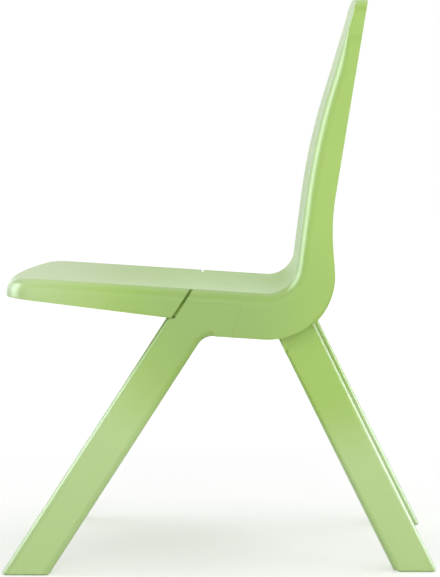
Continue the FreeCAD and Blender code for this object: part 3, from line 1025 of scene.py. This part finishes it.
def finish_piece(name, mesh, material, slot, *nodes):
    """Scales a mesh to metres, shades it smooth between its edges and sets it into the frame."""
    bmesh.ops.recalc_face_normals(mesh, faces=list(mesh.faces))
    for edge in mesh.edges:
        flat_side = any(face.calc_area() > flat_area for face in edge.link_faces)
        edge.smooth = not flat_side and edge.calc_face_angle(0) < math.radians(sharp_degrees)
    for face in mesh.faces:
        face.smooth = True
    bmesh.ops.scale(mesh, vec=(MM, MM, MM), verts=list(mesh.verts))
    data = bpy.data.meshes.new(name)
    mesh.to_mesh(data)
    mesh.free()
    data.materials.append(material)
    piece = bpy.data.objects.new(name, data)
    bpy.context.scene.collection.objects.link(piece)
    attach(piece, "root")
    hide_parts(*nodes)
    low = [round(min(v.co[i] for v in data.vertices) / MM, 2) for i in range(3)]
    high = [round(max(v.co[i] for v in data.vertices) / MM, 2) for i in range(3)]
    print(name, len(data.polygons), "faces from", low, "to", high)


finish_piece("seat_and_back", bm, shell_green, "shell_plastic", "seat_shell")

# %% [markdown]
# ## Legs
#
# Each leg is a flat board-like moulding, hollow from below. A box could be bent into its form, but an
# outline in the side view follows the photo directly, so that is drawn and extruded to the leg's thickness.
# The long edges get a full round and the others a small bevel, because the heads meet the shell flush. The
# mouth at the foot is an inset that is pushed up into the leg. The right legs mirror the left ones.


# %% Extrude, round and hollow a leg
leg_round = 5.5
cavity_top = 180.0
floor_line = (Vector((0, sole)), 0)


def soften(before, corner_at, after, radius, steps=8):
    """Points of a rounded corner."""
    a = (before - corner_at).normalized()
    b = (after - corner_at).normalized()
    half_angle = a.angle(b) / 2
    centre = corner_at + (a + b).normalized() * radius / math.sin(half_angle)
    start = corner_at + a * radius / math.tan(half_angle) - centre
    end = corner_at + b * radius / math.tan(half_angle) - centre
    return [centre + radius * between(start, end, i / steps).normalized() for i in range(steps + 1)]


def hollow_leg(outline, x_low, x_high, degrees, long_sides):
    """An extruded leg with its long sides rounded, small bevels elsewhere and a hollow from below."""
    mesh = bmesh.new()
    plate(mesh, outline, x_low, x_high)
    bmesh.ops.recalc_face_normals(mesh, faces=list(mesh.faces))
    steps = [step for line in long_sides for step in zip(line, line[1:])]

    def on_long_side(edge):
        a, b = (side_view(v.co) for v in edge.verts)
        misses = [(a - p).length + (b - q).length for p, q in steps]
        misses += [(a - q).length + (b - p).length for p, q in steps]
        return min(misses) < touch

    round_edges(mesh, [e for e in mesh.edges if on_long_side(e)], leg_round, 8, clamp=False)
    round_edges(mesh, sharp_edges(mesh, sharp_degrees), edge_break, 2)
    foot = min(mesh.faces, key=lambda f: (f.normal.z, -f.calc_area()))
    bmesh.ops.inset_region(mesh, faces=[foot], thickness=wall - edge_break, use_even_offset=True)
    made = bmesh.ops.extrude_face_region(mesh, geom=[foot])["geom"]
    rise = cavity_top - sole
    lift = Vector((0, rise / math.tan(math.radians(degrees)), rise))
    bmesh.ops.translate(mesh, verts=verts_of(made), vec=lift)
    return mesh


def mirrored(mesh):
    """A mirror image for the chair's other side."""
    other = mesh.copy()
    bmesh.ops.scale(other, vec=(-1, 1, 1), verts=list(other.verts))
    bmesh.ops.reverse_faces(other, faces=list(other.faces))
    return other


# %% The front leg
shoulder_fillet = 16.0
foot_rear = meet(*leg_rear, *floor_line)
armpit = soften(head_low_rear, shoulder, foot_rear, shoulder_fillet)
front_outline = [toe, joint, step_at, head_top_front, head_rear_at, head_low_rear, *armpit, foot_rear]
front_sides = [[toe, joint], [*armpit, foot_rear]]
front_leg = hollow_leg(front_outline, leg_inner, half, leg_degrees, front_sides)
print("front leg of", len(front_leg.faces), "faces")

# %% The rear leg, and both pairs
foot_front = meet(*rear_leg_front, *floor_line)
head_front = crossing(bend_centre, head_radius, rear_leg_front)
head_back = crossing(bend_centre, head_radius, rear_leg_rear)
head_turn = (angle_to(bend_centre, head_back), angle_to(bend_centre, head_front))
head_arc = arc(bend_centre, head_radius, *head_turn, 10)
rear_outline = [foot_front, heel, *head_arc]
rear_sides = [[head_arc[-1], foot_front], [heel, head_arc[0]]]
rear_leg = hollow_leg(rear_outline, rear_inner, rear_outer, rear_degrees, rear_sides)
for name, mesh in (("front", front_leg), ("rear", rear_leg)):
    finish_piece(name + "_right_leg", mirrored(mesh), leg_green, "leg_plastic", name + "_leg_right")
    finish_piece(name + "_left_leg", mesh, leg_green, "leg_plastic", name + "_leg_left")

# %% [markdown]
# ## Glides
#
# A glide is a thin sole of soft, rubbery plastic with a plug on it that is pressed into the mouth of the
# leg. It could be cut from a copy of the leg's foot, but two plates are simpler: the sole has round corners
# and broken edges, and the plug leans with the leg and reaches a little into the sole. The rear sole is set
# back further in front, because the foot of the solid leg has a rounded corner there.


# %% Draw the glides
sole_inset, sole_corner, sole_break = 1.5, 4.0, 0.3
plug_height, plug_play, plug_sink = 14.0, 0.2, 0.3
foot_corner = 4.5


def rectangle(x_low, x_high, y_low, y_high, z):
    return [(x_low, y_low, z), (x_high, y_low, z), (x_high, y_high, z), (x_low, y_high, z)]


def glide(front, rear, degrees, x_low, x_high, trim):
    """A sole between the lines of a leg's front and rear, set back in front by a trim, and its plug."""
    mesh = bmesh.new()
    y_low = meet(*front, *floor_line).x + sole_inset + trim
    y_high = meet(*rear, *floor_line).x - sole_inset
    slab(mesh, rectangle(x_low + sole_inset, x_high - sole_inset, y_low, y_high, 0), (0, 0, sole))
    bmesh.ops.recalc_face_normals(mesh, faces=list(mesh.faces))
    upright = [e for e in mesh.edges if abs(e.verts[0].co.z - e.verts[1].co.z) > sole / 2]
    round_edges(mesh, upright, sole_corner, 5)
    round_edges(mesh, sharp_edges(mesh, sharp_degrees), sole_break, 2)
    inner = wall + plug_play
    plug_front = meet(beside(*front, -inner), degrees, *floor_line)
    plug_rear = meet(beside(*rear, inner), degrees, *floor_line)
    base = sole - plug_sink
    rise = sole + plug_height - base
    lean = rise / math.tan(math.radians(degrees))
    plug = rectangle(x_low + inner, x_high - inner, plug_front.x, plug_rear.x, base)
    slab(mesh, plug, (0, lean, rise))
    return mesh


front_glide = glide((toe, leg_degrees), leg_rear, leg_degrees, leg_inner, half, 0.0)
foot_trim = foot_corner * math.tan(math.radians(90 - rear_degrees / 2))
rear_glide = glide(rear_leg_front, rear_leg_rear, rear_degrees, rear_inner, rear_outer, foot_trim)
for name, mesh in (("front", front_glide), ("rear", rear_glide)):
    finish_piece(name + "_right_foot", mirrored(mesh), glide_green, "glide_rubber", name + "_glide_right")
    finish_piece(name + "_left_foot", mesh, glide_green, "glide_rubber", name + "_glide_left")

# %% [markdown]
# ## Screws
#
# Eight screws go through the cheeks into the legs' heads. Each could be a cylinder with a hexagon cut out
# by a Boolean. Here the head's top is a ring between a circle and a hexagon with as many corners, which
# bridge_loops joins into clean faces; the circle is then extruded into the head's side and the shank, and
# the hexagon into the socket for the key. The shank is smooth, because it stays inside the leg.


# %% Draw a screw
shank, screw_head, screw_head_height = 4.0, 9.0, 3.0
socket, socket_depth, screw_bite = 4.0, 2.0, 18.0
tip_length, tip_share = 1.5, 0.4
screw_break, screw_degrees = 0.25, 60


def stretch(mesh, edges, way, scale):
    """Extrudes a loop, moves it along X and scales it about the screw's axis."""
    made = bmesh.ops.extrude_edge_only(mesh, edges=edges)["geom"]
    bmesh.ops.translate(mesh, verts=verts_of(made), vec=(way, 0, 0))
    bmesh.ops.scale(mesh, vec=(1, scale, scale), verts=verts_of(made))
    return open_edges_of(made)


def screw():
    """A screw along X with its head's top at zero."""
    mesh = bmesh.new()
    turn = Vector((0, 0, 1)).rotation_difference(Vector((-1, 0, 0))).to_matrix()
    bmesh.ops.create_circle(mesh, segments=24, radius=screw_head / 2)
    ring = list(mesh.edges)
    bmesh.ops.create_circle(mesh, segments=6, radius=socket / 2 / math.cos(math.pi / 6))
    hexagon = [e for e in mesh.edges if e not in ring]
    bmesh.ops.subdivide_edges(mesh, edges=hexagon, cuts=3)
    hexagon = [e for e in mesh.edges if e not in ring]
    bmesh.ops.rotate(mesh, verts=list(mesh.verts), matrix=turn)
    bmesh.ops.bridge_loops(mesh, edges=ring + hexagon)
    bmesh.ops.edgeloop_fill(mesh, edges=stretch(mesh, hexagon, socket_depth, 1.0))
    ring = stretch(mesh, ring, screw_head_height, 1.0)
    ring = stretch(mesh, ring, 0.0, shank / screw_head)
    ring = stretch(mesh, ring, cheek + screw_bite - tip_length, 1.0)
    ring = stretch(mesh, ring, tip_length, tip_share)
    bmesh.ops.edgeloop_fill(mesh, edges=ring)
    bmesh.ops.recalc_face_normals(mesh, faces=list(mesh.faces))
    round_edges(mesh, sharp_edges(mesh, screw_degrees), screw_break, 2)
    return mesh


print(f"screws of {shank} by {cheek + screw_bite}, with heads of {screw_head} and {socket} for the key")


# %% Set the screws
front_pitch, rear_pitch, rear_tilt = 20.0, 17.0, 30


def screw_set(name, spots_yz, x_seat, node):
    """All the screws of one kind, left and right, as one piece."""
    together = bmesh.new()
    for spot_yz in spots_yz:
        one = screw()
        bmesh.ops.translate(one, verts=list(one.verts), vec=(x_seat - screw_head_height, *spot_yz))
        for mesh in (one, mirrored(one)):
            data = bpy.data.meshes.new("screw_copy")
            mesh.to_mesh(data)
            together.from_mesh(data)
            bpy.data.meshes.remove(data)
            mesh.free()
    finish_piece(name, together, screw_steel, "screw_steel", node)


def two_spots(centre, degrees, pitch):
    """Two spots on a slanted line of the side view, on both sides of a centre."""
    return [centre + heading(degrees) * d for d in (-pitch / 2, pitch / 2)]


rear_low, rear_high = measured("rear_leg_screws")
rear_middle = (side_view(rear_low) + side_view(rear_high)) / 2
front_spots = two_spots(head_middle, -seat_slope, front_pitch)
rear_spots = two_spots(rear_middle, rear_tilt, rear_pitch)
screw_set("front_screws", front_spots, leg_inner - cheek, "front_leg_screws")
screw_set("rear_screws", rear_spots, rear_inner - cheek, "rear_leg_screws")

# %% [markdown]
# ## Camera
#
# The photo was taken from the sitter's left, almost square to the chair and a little above the seat, from
# about two metres away with a long lens. The lens, the place and the aim were fitted to the photo. They
# could be set by hand in the viewport, but numbers give the same picture each time.

# %% Set the camera
lens, sensor = 138.9, 36.0
camera_at = (2083.03, 52.29, 374.69)
view = Vector((-0.99766, -0.02515, -0.06356))
camera_data = bpy.data.cameras.new("camera")
camera_data.lens = lens
camera_data.sensor_width = sensor
camera = bpy.data.objects.new("camera", camera_data)
bpy.context.scene.collection.objects.link(camera)
camera.location = Vector(camera_at) * MM
camera.rotation_euler = view.to_track_quat("-Z", "Y").to_euler()
bpy.context.scene.camera = camera
print("camera", [round(v, 3) for v in camera.location])

# %% [markdown]
# ## Studio
#
# A chair like this is shown on a white sweep with large soft lights. The world is white for the camera and
# for reflections, and weaker as a light, so that it doesn't wash out the green. Three lamps light the
# chair: one beside the camera, one above, and a weak fill low at the rear. Four cool panels, in front,
# behind and on the far side, only gleam: they show in the plastic's reflections and draw the pale stripes
# along the rims. Plain lamps could do both, but each would change the colour of the sides as well.


# %% Light the studio
ambient = 0.34
lamp_white, panel_white = (1, 1, 1), (0.84, 0.94, 1.0)


def seen(finish):
    """One for the camera, a reflection or a clear piece that looks here, nought for light from here."""
    path = finish.node("ShaderNodeLightPath", {}, {})
    return path("Is Camera Ray") | path("Is Glossy Ray") | path("Is Transmission Ray")


def world_light():
    """A white world that lights the chair less than it shows."""
    world = bpy.data.worlds.new("sweep")
    bpy.context.scene.world = world
    sky = Finish(world)
    strength = ambient + (1 - ambient) * seen(sky)
    background = sky.node("ShaderNodeBackground", {}, {"Color": (1, 1, 1, 1), "Strength": strength})
    sky.done(background("Background"), "ShaderNodeOutputWorld")


def soft_light(name, at, aim, size, power, only_gleam=False):
    """A rectangular lamp, in metres and watts, or a panel that shows only in reflections."""
    data = bpy.data.lights.new(name, "AREA")
    data.shape = "RECTANGLE"
    data.size, data.size_y = size
    data.energy = power
    data.color = panel_white if only_gleam else lamp_white
    lamp = bpy.data.objects.new(name, data)
    bpy.context.scene.collection.objects.link(lamp)
    lamp.location = at
    lamp.visible_camera = False
    lamp.visible_diffuse = not only_gleam
    lamp.rotation_euler = (Vector(aim) - Vector(at)).to_track_quat("-Z", "Y").to_euler()


world_light()
soft_light("camera_light", (2.2, -0.1, 0.6), (0, 0, 0.25), (2.0, 2.0), 25)
soft_light("top_light", (-0.2, 0.0, 2.0), (0, 0, 0.3), (2.0, 2.0), 14)
soft_light("low_fill", (1.3, 1.7, 0.5), (0, 0.1, 0.15), (1.2, 0.8), 8)
soft_light("front_gleam", (0.25, -1.9, 0.9), (0, 0, 0.3), (1.3, 2.0), 105, True)
soft_light("far_left_gleam", (-1.5, -1.65, 0.7), (0, 0.05, 0.4), (2.6, 1.2), 15, True)
soft_light("far_right_gleam", (-2.4, 0.5, 0.5), (0, 0.05, 0.3), (1.2, 0.8), 2.5, True)
soft_light("rear_gleam", (-0.6, 1.9, 0.5), (0, 0, 0.25), (1.8, 1.4), 85, True)
lamps = [o for o in bpy.context.scene.objects if o.type == "LIGHT"]
print(len(lamps), "lamps,", sum(not o.visible_diffuse for o in lamps), "of them only gleam")

# %% [markdown]
# The floor is white paper that glows a little where it is seen, less near the chair than far off. A plain
# white plane would turn grey towards the horizon, and no floor at all would lose the soft shadow.


# %% Lay the floor
floor_size = 6.0
glow_near, glow_far = 400.0, 2000.0
glow_dim, glow_bright, paper_white = 0.46, 0.78, 0.8


def grey(level):
    return (level, level, level, 1)


floor_mesh = bpy.data.meshes.new("floor")
ground = bmesh.new()
bmesh.ops.create_grid(ground, x_segments=1, y_segments=1, size=floor_size)
ground.to_mesh(floor_mesh)
ground.free()
floor = bpy.data.objects.new("floor", floor_mesh)
bpy.context.scene.collection.objects.link(floor)
sweep = Finish(bpy.data.materials.new("sweep_floor"))
spot_at = sweep.node("ShaderNodeTexCoord", {}, {})("Object")
reach = sweep.node("ShaderNodeVectorMath", {"operation": "LENGTH"}, {0: spot_at})("Value")
far = eased(sweep, reach, glow_near, glow_far, 0.0, 1.0)
brightness = sweep.tint(far, grey(glow_dim), grey(glow_bright))
paper = sweep.node("ShaderNodeBsdfDiffuse", {}, {"Color": grey(paper_white)})("BSDF")
glow = sweep.node("ShaderNodeEmission", {}, {"Color": brightness})("Emission")
glowing_paper = sweep.node("ShaderNodeAddShader", {}, {0: paper, 1: glow})("Shader")
surface = sweep.node("ShaderNodeMixShader", {}, {0: seen(sweep), 1: paper, 2: glowing_paper})("Shader")
floor_mesh.materials.append(sweep.done(surface))
bpy.context.scene.view_settings.view_transform = "Standard"
print("floor", 2 * floor_size, "m wide, with", len(sweep.tree.nodes), "nodes")
